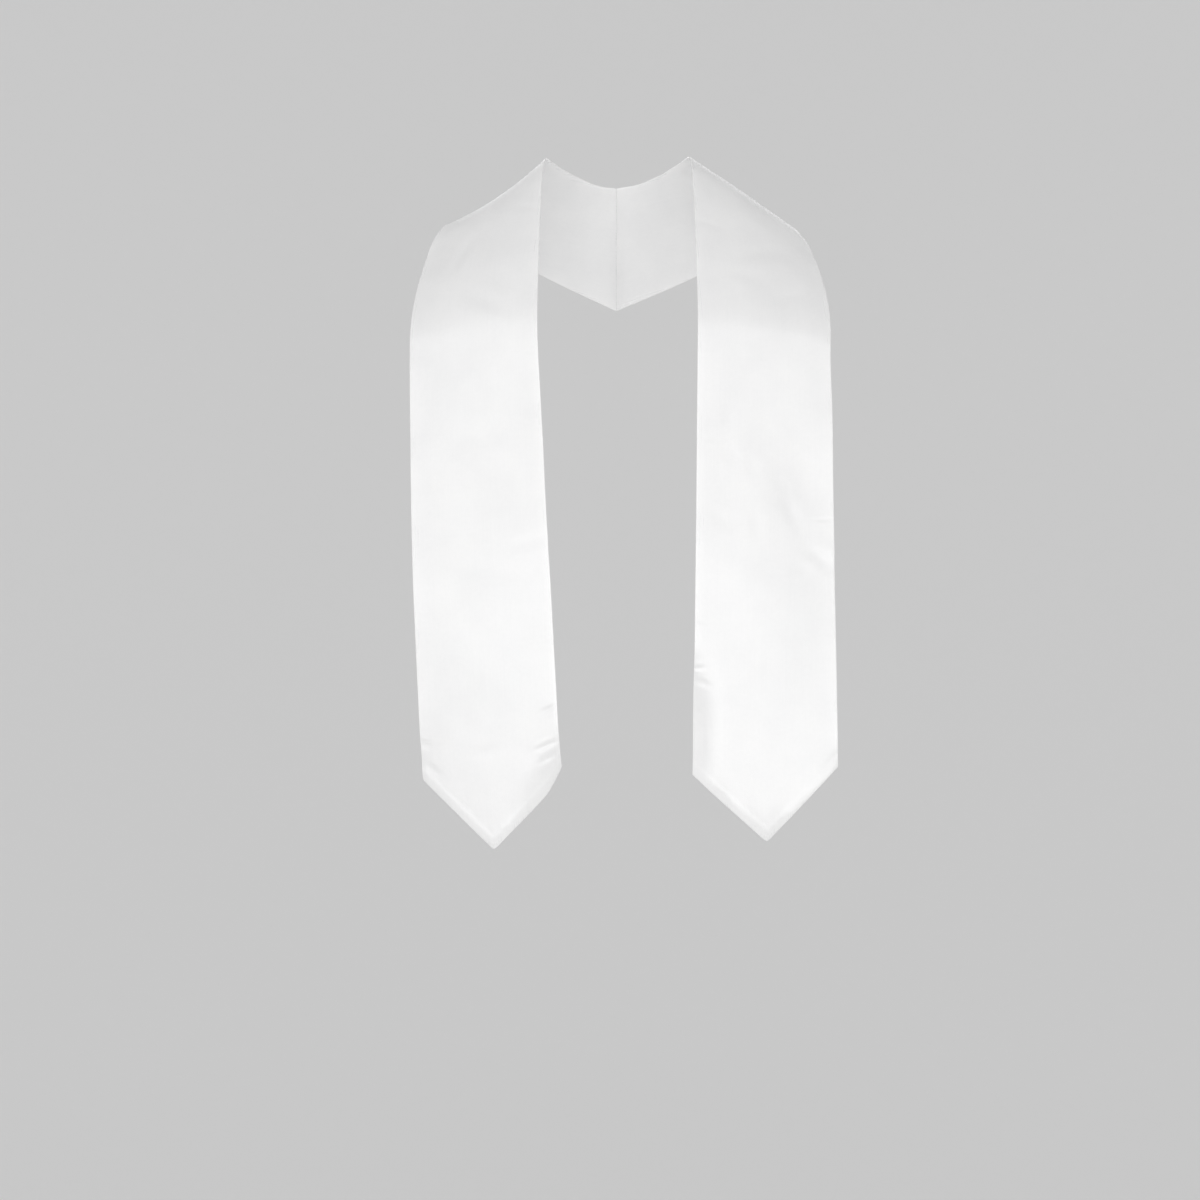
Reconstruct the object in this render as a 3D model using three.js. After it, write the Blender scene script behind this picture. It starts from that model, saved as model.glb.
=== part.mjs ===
// A plain graduation stole in the form that it takes when worn: two pressed satin bands, sewn
// together in a mitred seam at the back of the neck, that cross the shoulders and hang down the
// chest to sewn points. Millimetres, +Z up. The front faces -Y. Left and right are named as worn,
// so the left half is at +X. The origin is midway between the two places where the inner edges
// cross the shoulder line.
import * as THREE from "three";

// The cloth.
const THICKNESS = 1.6; // two layers of satin and what is pressed between them
const SHOULDER_WIDTH = 129; // along the shoulder line, from the inner to the outer edge
const CHEST_WIDTH = 138; // across the band where it starts to hang straight
const END_WIDTH = 145; // across the band at its two lower corners
const POINT_LENGTH = 70.5; // from the corners down to the tip
const SEAM_LENGTH = 134; // the mitred seam at the back, from the nape down to the V
const SEAM_GAP = 0.3; // between the two halves along that seam

// The form that it takes.
const NECK_HALF = 72.5; // from the middle to the inner edge, on the shoulder line
const NAPE_BACK = 80; // from the shoulder line back to the top of the seam
const NAPE_DROP = 20; // from the shoulder line down to the top of the seam
const CHEST_FORWARD = 120; // from the shoulder line forward to the inner edge on the chest
const CHEST_DROP = 200; // from the shoulder line down to where the inner edge hangs straight
const HANG_LENGTH = 430; // from there down to the corners
const DENT_DEPTH = 4; // of a full dent in the cloth
const BLUNT_REACH = 0.13; // how far across a blunt corner is rounded, as a share of the width

// The cross lines of a half from the back seam to the shoulder line. Each starts on the inner
// edge, at shares of NECK_HALF, NAPE_BACK and NAPE_DROP. It runs out to the outer edge: heading is
// degrees from +X towards the back, fall is degrees below level, width is a share of
// SHOULDER_WIDTH, bow is how far its middle stands proud, as a share of its width, and sag is the
// share of the half's own sag that it has.
const SEAM = SEAM_LENGTH / SHOULDER_WIDTH;
const BACK_LINES = [
  { across: 0.0, back: 1.0, down: 1.0, heading: 90, fall: 70, width: SEAM, bow: 0.06, sag: 0 },
  { across: 0.29, back: 0.92, down: 0.86, heading: 66, fall: 68.5, width: 0.94, bow: 0.06, sag: 0 },
  { across: 0.56, back: 0.74, down: 0.56, heading: 44, fall: 63.5, width: 0.89, bow: 0.05, sag: 0 },
  { across: 0.79, back: 0.49, down: 0.26, heading: 28, fall: 55, width: 0.87, bow: 0.04, sag: 0.3 },
  { across: 0.93, back: 0.22, down: 0.06, heading: 13, fall: 44, width: 0.91, bow: 0.02, sag: 0.7 },
  { across: 1.0, back: 0.0, down: 0.0, heading: 2, fall: 33.5, width: 1.0, bow: 0.0, sag: 1 },
];

// The same from the shoulder line down to the chest, with forward as a share of CHEST_FORWARD,
// down of CHEST_DROP and width of CHEST_WIDTH. Here turn is the share of the half's own turn on
// the chest that the line has taken.
const FRONT_LINES = [
  { across: 1.02, forward: 0.12, down: 0.015, turn: 0.3, fall: 33.5, width: 0.97, bow: 0, sag: 0.9 },
  { across: 1.045, forward: 0.25, down: 0.07, turn: 0.45, fall: 32.5, width: 1.01, bow: 0.01, sag: 0.7 },
  { across: 1.06, forward: 0.4, down: 0.17, turn: 0.6, fall: 30.5, width: 1.035, bow: 0.02, sag: 0.5 },
  { across: 1.075, forward: 0.565, down: 0.32, turn: 0.73, fall: 26, width: 1.035, bow: 0.02, sag: 0.3 },
  { across: 1.085, forward: 0.73, down: 0.49, turn: 0.84, fall: 20.5, width: 1.03, bow: 0.02, sag: 0.1 },
  { across: 1.095, forward: 0.865, down: 0.67, turn: 0.92, fall: 14.8, width: 1.02, bow: 0.02, sag: 0 },
  { across: 1.1, forward: 0.955, down: 0.84, turn: 0.97, fall: 9, width: 1.005, bow: 0.02, sag: 0 },
  { across: 1.095, forward: 1.0, down: 1.0, turn: 1.0, fall: 5, width: 1.0, bow: 0.015, sag: 0 },
];

// The cross lines below that, at shares of HANG_LENGTH, with forward again as a share of
// CHEST_FORWARD. Their width goes evenly from CHEST_WIDTH to END_WIDTH.
const HANG_LINES = [
  { down: 0.15, forward: 1.033, fall: 1.5, bow: 0.012 },
  { down: 0.36, forward: 1.065, fall: 0.3, bow: 0.008 },
  { down: 0.58, forward: 1.07, fall: 0, bow: 0.006 },
  { down: 0.8, forward: 1.06, fall: 0, bow: 0.006 },
  { down: 1.0, forward: 1.045, fall: 0, bow: 0.006 },
];

// What differs between the halves. shoulder is the share of SHOULDER_WIDTH that lies along the
// shoulder line, sag is how far the cloth sinks there, as a share of its width, and hang is the
// share of HANG_LENGTH. lean is degrees that the inner edge swings in below the chest. chest, low
// and end are degrees that the band faces outward on the chest, halfway down and at the corners.
// tilt is degrees that the line through the corners rises outward. tip is how far the point lies
// inward of the middle, and blunt how far the inner corner is rounded off upwards, both as shares
// of END_WIDTH.
const HALVES = [
  {
    name: "left_half",
    side: 1,
    shoulder: 1.025,
    sag: -0.012,
    hang: 0.994,
    lean: 0.6,
    chest: 12,
    low: 10,
    end: 4,
    tilt: 3.5,
    tip: -0.01,
    blunt: 0.01,
  },
  {
    name: "right_half",
    side: -1,
    shoulder: 0.975,
    sag: 0.045,
    hang: 1.015,
    lean: 3,
    chest: 19,
    low: 13,
    end: 16,
    tilt: -1.1,
    tip: 0.02,
    blunt: 0.083,
  },
];

// Dents and rises in the hanging cloth, and the edges and corners that roll back. down is a share
// of HANG_LENGTH and across of the width, deep of DENT_DEPTH, with a rise below zero, and tall and
// wide say how far it reaches, as shares of END_WIDTH.
const DENTS = [
  { half: "left_half", down: 0.32, across: 0.78, deep: 0.9, tall: 0.42, wide: 0.3 },
  { half: "left_half", down: 0.55, across: 0.5, deep: -0.6, tall: 0.6, wide: 0.4 },
  { half: "left_half", down: 0.9, across: 0, deep: 1.1, tall: 0.5, wide: 0.16 },
  { half: "left_half", down: 0.97, across: 1, deep: 0.5, tall: 0.25, wide: 0.14 },
  { half: "right_half", down: 0.22, across: 0.45, deep: 0.8, tall: 0.7, wide: 0.5 },
  { half: "right_half", down: 0.62, across: 0.5, deep: -0.7, tall: 0.7, wide: 0.5 },
  { half: "right_half", down: 1.02, across: 0, deep: 1.0, tall: 0.3, wide: 0.22 },
  { half: "right_half", down: 1.0, across: 1, deep: 0.5, tall: 0.3, wide: 0.16 },
];

const STEPS = 3; // cells between two cross lines
const ROWS = STEPS * (BACK_LINES.length + FRONT_LINES.length + HANG_LINES.length - 1);
const COLUMNS = 10; // cells across, an even number, so that one line of corners ends in the tip
const POINT_ROWS = 3 * STEPS; // the lowest cells, which slant towards the point

const radians = THREE.MathUtils.degToRad;
const lerp = THREE.MathUtils.lerp;

// The way from the inner to the outer edge.
function outward(heading, fall) {
  const level = Math.cos(radians(fall));
  return new THREE.Vector3(
    level * Math.cos(radians(heading)),
    level * Math.sin(radians(heading)),
    -Math.sin(radians(fall)),
  );
}

function crossLine(inner, heading, fall, width, bow) {
  const outer = inner.clone().addScaledVector(outward(heading, fall), width);
  return { inner, outer, bow: bow * width };
}

function backLine(half, line) {
  const inner = new THREE.Vector3(
    line.across * NECK_HALF,
    line.back * NAPE_BACK,
    -line.down * NAPE_DROP,
  );
  const width = line.width * SHOULDER_WIDTH * lerp(1, half.shoulder, line.across);
  return crossLine(inner, line.heading, line.fall, width, line.bow - line.sag * half.sag);
}

function frontLine(half, line) {
  const inner = new THREE.Vector3(
    line.across * NECK_HALF,
    -line.forward * CHEST_FORWARD,
    -line.down * CHEST_DROP,
  );
  const heading = line.turn * half.chest;
  const width = line.width * CHEST_WIDTH * lerp(half.shoulder, 1, line.down);
  return crossLine(inner, heading, line.fall, width, line.bow - line.sag * half.sag);
}

function hangLine(half, line) {
  const drop = line.down * half.hang * HANG_LENGTH;
  const inner = new THREE.Vector3(
    FRONT_LINES.at(-1).across * NECK_HALF - drop * Math.tan(radians(half.lean)),
    -line.forward * CHEST_FORWARD,
    -CHEST_DROP - drop,
  );
  const upper = lerp(half.chest, half.low, 2 * line.down);
  const lower = lerp(half.low, half.end, 2 * line.down - 1);
  const heading = line.down < 0.5 ? upper : lower;
  return crossLine(inner, heading, line.fall, lerp(CHEST_WIDTH, END_WIDTH, line.down), line.bow);
}

// All cross lines of a half, from the seam to the corners, for a half on the +X side. The middle
// of the seam stays in the plane of the seam.
function crossLines(half) {
  const lines = [
    ...BACK_LINES.map((line) => backLine(half, line)),
    ...FRONT_LINES.map((line) => frontLine(half, line)),
    ...HANG_LINES.map((line) => hangLine(half, line)),
  ];
  lines.forEach((line, place) => {
    const before = lines[Math.max(place - 1, 0)];
    const after = lines[Math.min(place + 1, lines.length - 1)];
    const along = after.inner.clone().sub(before.inner);
    const proud = along.cross(line.outer.clone().sub(line.inner));
    if (place === 0) proud.x = 0;
    proud.normalize();
    line.middle = line.inner.clone().lerp(line.outer, 0.5).addScaledVector(proud, line.bow);
  });
  return lines;
}

// How far the dents push the cloth back at a place of the hanging part.
function dentAt(half, down, across) {
  let depth = 0;
  for (const dent of DENTS.filter((d) => d.half === half.name)) {
    const away = Math.hypot(
      ((down - dent.down) * HANG_LENGTH) / (dent.tall * END_WIDTH),
      (across - dent.across) / dent.wide,
    );
    depth += dent.deep * DENT_DEPTH * Math.exp(-2 * away * away);
  }
  return depth;
}

// The middle surface of a half: along runs from 0 at the seam to 1 at the lower edge, and across
// from 0 at the inner edge to 1 at the outer one.
function surfaceOf(half) {
  const lines = crossLines(half);
  const innerEdge = new THREE.CatmullRomCurve3(lines.map((line) => line.inner));
  const middle = new THREE.CatmullRomCurve3(lines.map((line) => line.middle));
  const outerEdge = new THREE.CatmullRomCurve3(lines.map((line) => line.outer));
  const slant = POINT_ROWS / ROWS;
  return (along, across) => {
    const place = new THREE.Vector3();
    place.addScaledVector(innerEdge.getPoint(along), (1 - across) * (1 - 2 * across));
    place.addScaledVector(middle.getPoint(along), 4 * across * (1 - across));
    place.addScaledVector(outerEdge.getPoint(along), across * (2 * across - 1));
    const towardsPoint = THREE.MathUtils.clamp((along - 1 + slant) / slant, 0, 1);
    place.z += towardsPoint * Math.tan(radians(half.tilt)) * END_WIDTH * (across - 0.5);
    const pointed = towardsPoint * (1 - Math.abs(2 * across - 1));
    place.x -= pointed * half.tip * END_WIDTH;
    place.z -= pointed * POINT_LENGTH;
    const rounded = Math.max(1 - across / BLUNT_REACH, 0);
    place.z += towardsPoint * rounded * rounded * half.blunt * END_WIDTH;
    place.y += dentAt(half, -(place.z + CHEST_DROP) / HANG_LENGTH, across);
    place.x += SEAM_GAP / 2;
    return place;
  };
}

// From the middle surface to the face of the cloth. On the seam the way out stays in the plane of
// the seam, which mitres the two halves.
function toFace(surface, along, across) {
  const step = 1e-3;
  const a = Math.min(along, 1 - step);
  const b = Math.min(across, 1 - step);
  const start = surface(a, b);
  const down = surface(a + step, b).sub(start);
  const out = surface(a, b + step).sub(start);
  const normal = down.cross(out).normalize();
  if (along === 0) {
    normal.x = 0;
    normal.divideScalar(normal.lengthSq());
  }
  return normal.multiplyScalar(THICKNESS / 2);
}

function halfGeometry(half) {
  const surface = surfaceOf(half);
  const positions = [];
  for (const layer of [1, -1]) {
    for (let row = 0; row <= ROWS; row++) {
      for (let column = 0; column <= COLUMNS; column++) {
        const along = row / ROWS;
        const across = column / COLUMNS;
        const place = surface(along, across);
        place.addScaledVector(toFace(surface, along, across), layer);
        positions.push(half.side * place.x, place.y, place.z);
      }
    }
  }
  const layerSize = (ROWS + 1) * (COLUMNS + 1);
  const front = (row, column) => row * (COLUMNS + 1) + column;
  const rear = (row, column) => layerSize + front(row, column);
  const index = [];
  const face = (a, b, c, d) => {
    const corners = half.side > 0 ? [a, b, c, d] : [a, d, c, b];
    index.push(corners[0], corners[1], corners[2], corners[0], corners[2], corners[3]);
  };
  for (let row = 0; row < ROWS; row++) {
    const next = row + 1;
    for (let column = 0; column < COLUMNS; column++) {
      const beside = column + 1;
      face(front(row, column), front(next, column), front(next, beside), front(row, beside));
      face(rear(row, column), rear(row, beside), rear(next, beside), rear(next, column));
    }
    face(front(row, 0), rear(row, 0), rear(next, 0), front(next, 0));
    face(front(next, COLUMNS), rear(next, COLUMNS), rear(row, COLUMNS), front(row, COLUMNS));
  }
  for (let column = 0; column < COLUMNS; column++) {
    const beside = column + 1;
    face(front(0, beside), rear(0, beside), rear(0, column), front(0, column));
    face(front(ROWS, column), rear(ROWS, column), rear(ROWS, beside), front(ROWS, beside));
  }
  const geometry = new THREE.BufferGeometry();
  geometry.setAttribute("position", new THREE.Float32BufferAttribute(positions, 3));
  geometry.setIndex(index);
  geometry.computeVertexNormals();
  return geometry;
}

const satin = new THREE.MeshStandardMaterial({ color: 0xf7f7f8, roughness: 0.42, metalness: 0 });

const stole = new THREE.Group();
for (const half of HALVES) {
  const mesh = new THREE.Mesh(halfGeometry(half), satin);
  mesh.name = half.name;
  stole.add(mesh);
}

export default stole;
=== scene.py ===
# %% [markdown]
# # A graduation stole in white satin
#
# The real stole is two long bands. Each is cut twice from satin, sewn right sides together, turned
# out and pressed, so its edges are folds and no stitch shows on them. The bands are joined in one
# mitred seam at the back of the neck. They lie over the shoulders and hang down the front, and each
# ends in a sewn point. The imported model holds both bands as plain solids. This lesson keeps that
# form and gives it the real surface: pressed edges, puckers, creases, a weave and a soft sheen.

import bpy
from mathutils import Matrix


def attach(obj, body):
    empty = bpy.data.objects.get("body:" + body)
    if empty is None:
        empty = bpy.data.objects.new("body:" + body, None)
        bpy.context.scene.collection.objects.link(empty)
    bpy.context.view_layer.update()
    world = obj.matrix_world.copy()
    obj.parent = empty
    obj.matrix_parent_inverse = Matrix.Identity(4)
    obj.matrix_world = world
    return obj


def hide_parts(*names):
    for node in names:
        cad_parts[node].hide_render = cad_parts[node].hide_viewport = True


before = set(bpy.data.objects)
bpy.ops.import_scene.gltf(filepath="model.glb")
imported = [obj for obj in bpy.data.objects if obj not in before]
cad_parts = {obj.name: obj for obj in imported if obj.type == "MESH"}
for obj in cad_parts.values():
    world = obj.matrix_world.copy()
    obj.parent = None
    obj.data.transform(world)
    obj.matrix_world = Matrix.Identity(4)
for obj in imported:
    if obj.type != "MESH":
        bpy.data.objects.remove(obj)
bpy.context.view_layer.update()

# %% Blender and the number tools
import math
from collections import namedtuple

import bpy
import numpy as np
from mathutils.bvhtree import BVHTree

# %% [markdown]
# ## The sizes of the two bands
#
# A worn band is a long ruled strip. A tailor describes it with cross lines: where each starts on
# the inner edge, which way it runs out, how wide the band is there and how far its middle stands
# proud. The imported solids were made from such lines, so the same sizes and the same short tables
# are used here, in metres. Copying the solid's own facets would be quicker, but they are too
# coarse for satin, where the gloss shows every flat.

# %% Sizes that both bands share
MM = 0.001
SHOULDER_WIDTH = 129 * MM  # along the shoulder line, from the inner to the outer edge
CHEST_WIDTH = 138 * MM  # across the band where it starts to hang straight
END_WIDTH = 145 * MM  # across the band at its two lower corners
POINT_LENGTH = 70.5 * MM  # from the corners down to the tip
SEAM_LENGTH = 134 * MM  # the mitred seam at the back
NECK_HALF = 72.5 * MM  # from the middle to the inner edge, on the shoulder line
NAPE_BACK = 80 * MM  # from the shoulder line back to the top of the seam
NAPE_DROP = 20 * MM  # from the shoulder line down to the top of the seam
CHEST_FORWARD = 120 * MM  # from the shoulder line forward to the inner edge on the chest
CHEST_DROP = 200 * MM  # from the shoulder line down to where the inner edge hangs straight
HANG_LENGTH = 430 * MM  # from there down to the corners
DENT_DEPTH = 4 * MM  # of a full dent
BLUNT_REACH = 0.13  # how far across a blunt corner is rounded, as a share of the width
TIP_ROUND = 0.02  # how far the tip is rounded, as a share of half the width
POINT_GAPS = 3  # gaps between cross lines, the lowest ones, that slant towards the point


def table(columns, *rows):
    """Rows of values with named columns."""
    row_type = namedtuple("Row", columns)
    return [row_type(*row) for row in rows]


# %% The cross lines, as shares of the sizes above; heading and fall are degrees
BACK_LINES = table(
    "across back down heading fall width bow sag",
    (0.00, 1.00, 1.00, 90, 70.0, SEAM_LENGTH / SHOULDER_WIDTH, 0.06, 0.0),
    (0.29, 0.92, 0.86, 66, 68.5, 0.94, 0.06, 0.0),
    (0.56, 0.74, 0.56, 44, 63.5, 0.89, 0.05, 0.0),
    (0.79, 0.49, 0.26, 28, 55.0, 0.87, 0.04, 0.3),
    (0.93, 0.22, 0.06, 13, 44.0, 0.91, 0.02, 0.7),
    (1.00, 0.00, 0.00, 2, 33.5, 1.00, 0.00, 1.0),
)
FRONT_LINES = table(
    "across forward down turn fall width bow sag",
    (1.020, 0.120, 0.015, 0.30, 33.5, 0.970, 0.00, 0.9),
    (1.045, 0.250, 0.070, 0.45, 32.5, 1.010, 0.01, 0.7),
    (1.060, 0.400, 0.170, 0.60, 30.5, 1.035, 0.02, 0.5),
    (1.075, 0.565, 0.320, 0.73, 26.0, 1.035, 0.02, 0.3),
    (1.085, 0.730, 0.490, 0.84, 20.5, 1.030, 0.02, 0.1),
    (1.095, 0.865, 0.670, 0.92, 14.8, 1.020, 0.02, 0.0),
    (1.100, 0.955, 0.840, 0.97, 9.0, 1.005, 0.02, 0.0),
    (1.095, 1.000, 1.000, 1.00, 5.0, 1.000, 0.015, 0.0),
)
HANG_LINES = table(
    "down forward fall bow",
    (0.15, 1.033, 1.5, 0.012),
    (0.36, 1.065, 0.3, 0.008),
    (0.58, 1.070, 0.0, 0.006),
    (0.80, 1.060, 0.0, 0.006),
    (1.00, 1.045, 0.0, 0.006),
)

# %% What differs between the halves, and the dents of the hanging cloth
HALVES = table(
    "name side shoulder sag hang lean chest low end tilt tip blunt",
    ("left_half", 1, 1.025, -0.012, 0.994, 0.6, 12, 10, 4, 3.5, -0.01, 0.01),
    ("right_half", -1, 0.975, 0.045, 1.015, 3.0, 19, 13, 16, -1.1, 0.02, 0.083),
)
DENTS = {
    "left_half": table(
        "down across deep tall wide",
        (0.32, 0.78, 0.9, 0.42, 0.30),
        (0.55, 0.50, -0.6, 0.60, 0.40),
        (0.90, 0.00, 1.1, 0.50, 0.16),
        (0.97, 1.00, 0.5, 0.25, 0.14),
    ),
    "right_half": table(
        "down across deep tall wide",
        (0.22, 0.45, 0.8, 0.70, 0.50),
        (0.62, 0.50, -0.7, 0.70, 0.50),
        (1.02, 0.00, 1.0, 0.30, 0.22),
        (1.00, 1.00, 0.5, 0.30, 0.16),
    ),
}
print("cross lines in a half:", len(BACK_LINES) + len(FRONT_LINES) + len(HANG_LINES))

# %% [markdown]
# ## From cross lines to a smooth strip
#
# Three smooth lines run the whole length of a band: along the inner edge, the middle and the outer
# edge. A Catmull-Rom curve is a good choice, because it passes through every point that the tables
# give, and its square-root spacing keeps it from overshooting where two cross lines lie close.
# Across the band a parabola through the three lines gives the bow.


# %% A smooth line through points
def mix(a, b, share):
    """The value at a share of the way from a to b."""
    return a + (b - a) * share


def smooth_line(points, share):
    """Places on the curve through points, at shares of the number of gaps between them."""
    ends = [2 * points[0] - points[1]], points, [2 * points[-1] - points[-2]]
    padded = np.vstack(ends)
    place = np.clip(share, 0, 1) * (len(points) - 1)
    first = np.minimum(place.astype(int), len(points) - 2)
    part = (place - first)[:, None]
    before, start, stop, after = (padded[first + step] for step in range(4))
    gap_before, gap, gap_after = (
        np.sqrt(np.linalg.norm(b - a, axis=1, keepdims=True))
        for a, b in ((before, start), (start, stop), (stop, after))
    )
    leave = (start - before) / gap_before - (stop - before) / (gap_before + gap)
    leave = (leave + (stop - start) / gap) * gap
    arrive = (stop - start) / gap - (after - start) / (gap + gap_after)
    arrive = (arrive + (after - stop) / gap_after) * gap
    square = 3 * (stop - start) - 2 * leave - arrive
    cube = 2 * (start - stop) + leave + arrive
    return start + leave * part + square * part**2 + cube * part**3


# %% The cross lines of a half on the +X side
def cross_line(inner, heading, fall, width, bow):
    """The inner and outer end of a cross line, and its bow, in metres."""
    heading, fall = math.radians(heading), math.radians(fall)
    level = math.cos(fall)
    way = np.array([level * math.cos(heading), level * math.sin(heading), -math.sin(fall)])
    inner = np.array(inner)
    return inner, inner + way * width, bow * width


def back_line(half, line):
    inner = (line.across * NECK_HALF, line.back * NAPE_BACK, -line.down * NAPE_DROP)
    width = line.width * SHOULDER_WIDTH * mix(1, half.shoulder, line.across)
    return cross_line(inner, line.heading, line.fall, width, line.bow - line.sag * half.sag)


def front_line(half, line):
    inner = (line.across * NECK_HALF, -line.forward * CHEST_FORWARD, -line.down * CHEST_DROP)
    width = line.width * CHEST_WIDTH * mix(half.shoulder, 1, line.down)
    bow = line.bow - line.sag * half.sag
    return cross_line(inner, line.turn * half.chest, line.fall, width, bow)


def hang_line(half, line):
    drop = line.down * half.hang * HANG_LENGTH
    across = FRONT_LINES[-1].across * NECK_HALF - drop * math.tan(math.radians(half.lean))
    inner = (across, -line.forward * CHEST_FORWARD, -CHEST_DROP - drop)
    upper = mix(half.chest, half.low, 2 * line.down)
    lower = mix(half.low, half.end, 2 * line.down - 1)
    heading = upper if line.down < 0.5 else lower
    width = mix(CHEST_WIDTH, END_WIDTH, line.down)
    return cross_line(inner, heading, line.fall, width, line.bow)


def cross_lines(half):
    """The inner, middle and outer places of all cross lines. The seam's middle stays at x = 0."""
    lines = [back_line(half, line) for line in BACK_LINES]
    lines += [front_line(half, line) for line in FRONT_LINES]
    lines += [hang_line(half, line) for line in HANG_LINES]
    inner, outer, bow = (np.array(column) for column in zip(*lines))
    ahead = np.vstack([inner[1:], inner[-1:]]) - np.vstack([inner[:1], inner[:-1]])
    proud = np.cross(ahead, outer - inner)
    proud[0, 0] = 0
    proud /= np.linalg.norm(proud, axis=1, keepdims=True)
    return inner, (inner + outer) / 2 + proud * bow[:, None], outer


def straight_band(half, along, across):
    """The band before its end is cut: rows of places, from the seam down and from the inner edge."""
    inner, middle, outer = (smooth_line(line, along)[:, None] for line in cross_lines(half))
    share = across[None, :, None]
    bent = 4 * share * (1 - share) * middle
    return (1 - share) * (1 - 2 * share) * inner + bent + share * (2 * share - 1) * outer


# %% [markdown]
# ## The sewn point
#
# Both layers are sewn along two slanting lines and turned out. The corners never come out as sharp
# as they were sewn: the tip is a little round, and the inner corner of the right half is
# plainly blunt. In the mesh the lowest rows slant more and more until the last one is the cut
# itself, so the rows run parallel to the sewn edge, where the pressed rim needs them.


# %% The cut of the lower end, and the dents
def end_cut(half, along, across):
    """How far the cut moves each place outward and down, in metres."""
    gaps = len(BACK_LINES) + len(FRONT_LINES) + len(HANG_LINES) - 1
    slant = POINT_GAPS / gaps
    towards_point = np.clip((along - 1 + slant) / slant, 0, 1)[:, None]
    from_middle = np.hypot(2 * across - 1, TIP_ROUND)
    pointed = towards_point * np.maximum(1 - from_middle, 0)
    rise = math.tan(math.radians(half.tilt)) * END_WIDTH * (across - 0.5)
    blunt = np.maximum(1 - across / BLUNT_REACH, 0) ** 2 * half.blunt * END_WIDTH
    down = pointed * POINT_LENGTH - towards_point * (rise + blunt)
    return -pointed * half.tip * END_WIDTH, down


def dent_depth(half, height, across):
    """How far the dents push back a place at that height."""
    down = -(height + CHEST_DROP) / HANG_LENGTH
    depth = np.zeros_like(height)
    for dent in DENTS[half.name]:
        tall = (down - dent.down) * HANG_LENGTH / (dent.tall * END_WIDTH)
        wide = (across - dent.across) / dent.wide
        depth += dent.deep * DENT_DEPTH * np.exp(-2 * (tall**2 + wide**2))
    return depth


def middle_surface(half, along, across):
    """The surface halfway between the two layers, for a half on the +X side."""
    places = straight_band(half, along, across)
    outward, down = end_cut(half, along, across)
    places[..., 0] += outward
    places[..., 2] -= down
    places[..., 1] += dent_depth(half, places[..., 2], across)
    return places


# %% [markdown]
# ## Where the rows and columns go
#
# Satin needs small, even cells, because its gloss shows every kink. Cells of about two millimetres
# are enough for the soft forms. The rim and the seam allowance behind it need closer ones. So the
# columns crowd at the edges and beside the line that ends in the tip, and the rows crowd at the
# seam and at the lower edge.

# %% Spacing of the cells
CELL = 2.1 * MM
EDGE_INSETS = np.array([0, 2.0, 3.2, 4.6, 6.2, 8.0, 9.8]) * MM  # lines close behind an edge
TIP_LINES = np.array([0.03, 0.018, 0.009])  # columns beside the middle, as shares of the width
FINE_STEPS = 4000  # steps for measuring the length of a line
HANGING = 0.6  # share of the rows past which the band hangs straight


def spread(start, stop, cell):
    """Even steps of about one cell from start to stop, without the ends."""
    count = max(round((stop - start) / cell), 1)
    return np.linspace(start, stop, count + 1)[1:-1]


def column_shares():
    edge = EDGE_INSETS / CHEST_WIDTH
    near_middle = 0.5 - TIP_LINES
    plain = spread(edge[-1], near_middle[0], CELL / CHEST_WIDTH)
    inner = np.concatenate([edge, plain, near_middle])
    return np.concatenate([inner, [0.5], 1 - inner[::-1]])


def step_lengths(places):
    """The length from each place to the next, along the first axis."""
    return np.linalg.norm(np.diff(places, axis=0), axis=-1)


def row_shares(half):
    """Rows that lie evenly on the middle line, apart from the close ones at both ends."""
    along = np.linspace(0, 1, FINE_STEPS)
    line = middle_surface(half, along, np.array([0.5]))[:, 0]
    length = np.concatenate([[0], np.cumsum(step_lengths(line))])
    slope = math.hypot(POINT_LENGTH, END_WIDTH / 2) / (END_WIDTH / 2)
    top = EDGE_INSETS
    bottom = length[-1] - EDGE_INSETS[::-1] * slope
    places = np.concatenate([top, spread(top[-1], bottom[0], CELL), bottom])
    return np.interp(places, length, along)


columns = column_shares()
rows = {half.name: row_shares(half) for half in HALVES}
print("columns:", len(columns), "rows:", {name: len(found) for name, found in rows.items()})

# %% [markdown]
# ## The flat cut
#
# A weaver's grain is straight in the flat cloth, and it bends with the band once that is worn. So
# the weave has to be drawn on the flat cut, not on the worn form. The cut is found by unrolling the
# strip: row by row, each pair of triangles is laid beside the last with its true side lengths. A
# complex number is a handy name for a flat place. This also measures the cloth that one layer
# takes, and the two halves' grain then meets in the mitre at an angle, as it does on the real one.


# %% Unroll a band
def third_corner(a, b, from_a, from_b):
    """The corner below the side from a to b, at its distances from both."""
    side = abs(b - a)
    beside = (from_a**2 - from_b**2 + side**2) / (2 * side)
    below = math.sqrt(max(from_a**2 - beside**2, 0))
    return a + (b - a) / side * (beside - 1j * below)


def distance(a, b):
    return float(np.linalg.norm(b - a))


def unrolled_edges(inner, outer):
    """Flat places of the inner and outer edge, turned so that the band hangs straight down."""
    flat_inner, flat_outer = [0j], [complex(distance(inner[0], outer[0]))]
    for row in range(1, len(inner)):
        a, b = flat_inner[-1], flat_outer[-1]
        down, diagonal = distance(inner[row - 1], inner[row]), distance(outer[row - 1], inner[row])
        corner = third_corner(a, b, down, diagonal)
        width, down = distance(inner[row], outer[row]), distance(outer[row - 1], outer[row])
        flat_inner.append(corner)
        flat_outer.append(third_corner(corner, b, width, down))
    flat_inner, flat_outer = np.array(flat_inner), np.array(flat_outer)
    centre = (flat_inner + flat_outer) / 2
    hanging = int(HANGING * len(centre))
    turn = -1j / (centre[-1] - centre[hanging])
    turn /= abs(turn)
    return flat_inner * turn, flat_outer * turn


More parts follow.
